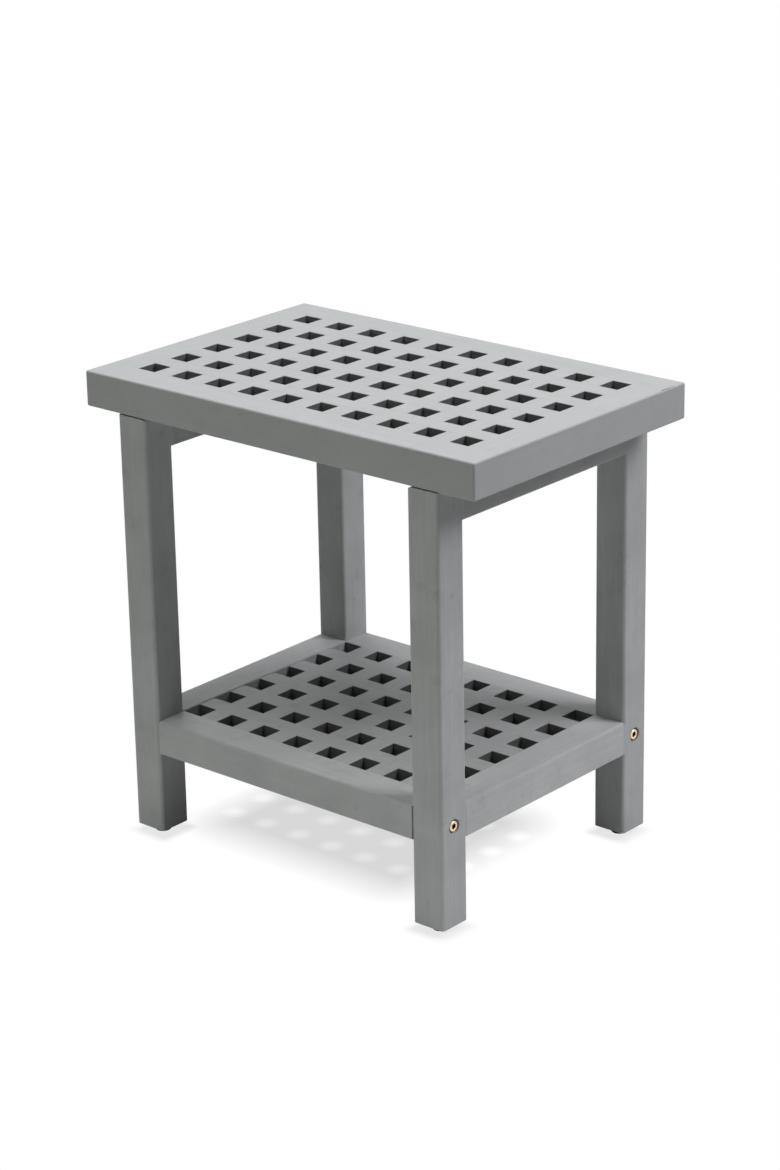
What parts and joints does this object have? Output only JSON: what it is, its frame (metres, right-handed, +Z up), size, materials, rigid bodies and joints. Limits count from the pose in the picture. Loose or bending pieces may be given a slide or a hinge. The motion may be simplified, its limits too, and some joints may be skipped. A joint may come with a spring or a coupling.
{
  "type": "shower stool with shelf",
  "caption": "Low rectangular wooden bathroom stool with a lattice seat on four square legs and a lattice shelf bolted between them.",
  "frame": {"origin": "on the floor, under the middle of the stool", "axes": "+X along the long side of the seat, to the right seen from the front; +Y from the front to the back; +Z up"},
  "size_m": [0.46, 0.3, 0.45],
  "materials": {
    "painted_wood": "light grey paint, satin, over close grained wood",
    "brass": "satin brass plating",
    "steel": "zinc plated",
    "rubber": "matt black"
  },
  "bodies": {
    "root": {"barrel_nuts": "steel", "foot_back_left": "rubber", "foot_back_right": "rubber", "foot_front_left": "rubber", "foot_front_right": "rubber", "leg_back_left": "painted_wood", "leg_back_right": "painted_wood", "leg_front_left": "painted_wood", "leg_front_right": "painted_wood", "lower_rail_left": "painted_wood", "lower_rail_right": "painted_wood", "seat_back_rail": "painted_wood", "seat_cross_slat_1": "painted_wood", "seat_cross_slat_2": "painted_wood", "seat_cross_slat_3": "painted_wood", "seat_cross_slat_4": "painted_wood", "seat_cross_slat_5": "painted_wood", "seat_cross_slat_6": "painted_wood", "seat_cross_slat_7": "painted_wood", "seat_cross_slat_8": "painted_wood", "seat_cross_slat_9": "painted_wood", "seat_front_rail": "painted_wood", "seat_left_rail": "painted_wood", "seat_long_slat_1": "painted_wood", "seat_long_slat_2": "painted_wood", "seat_long_slat_3": "painted_wood", "seat_long_slat_4": "painted_wood", "seat_long_slat_5": "painted_wood", "seat_right_rail": "painted_wood", "seat_screws": "steel", "shelf_back_rail": "painted_wood", "shelf_bolts": "brass", "shelf_cross_slat_1": "painted_wood", "shelf_cross_slat_2": "painted_wood", "shelf_cross_slat_3": "painted_wood", "shelf_cross_slat_4": "painted_wood", "shelf_cross_slat_5": "painted_wood", "shelf_cross_slat_6": "painted_wood", "shelf_cross_slat_7": "painted_wood", "shelf_front_rail": "painted_wood", "shelf_long_slat_1": "painted_wood", "shelf_long_slat_2": "painted_wood", "shelf_long_slat_3": "painted_wood", "shelf_long_slat_4": "painted_wood", "shelf_long_slat_5": "painted_wood", "upper_rail_left": "painted_wood", "upper_rail_right": "painted_wood"}
  },
  "joints": []
}
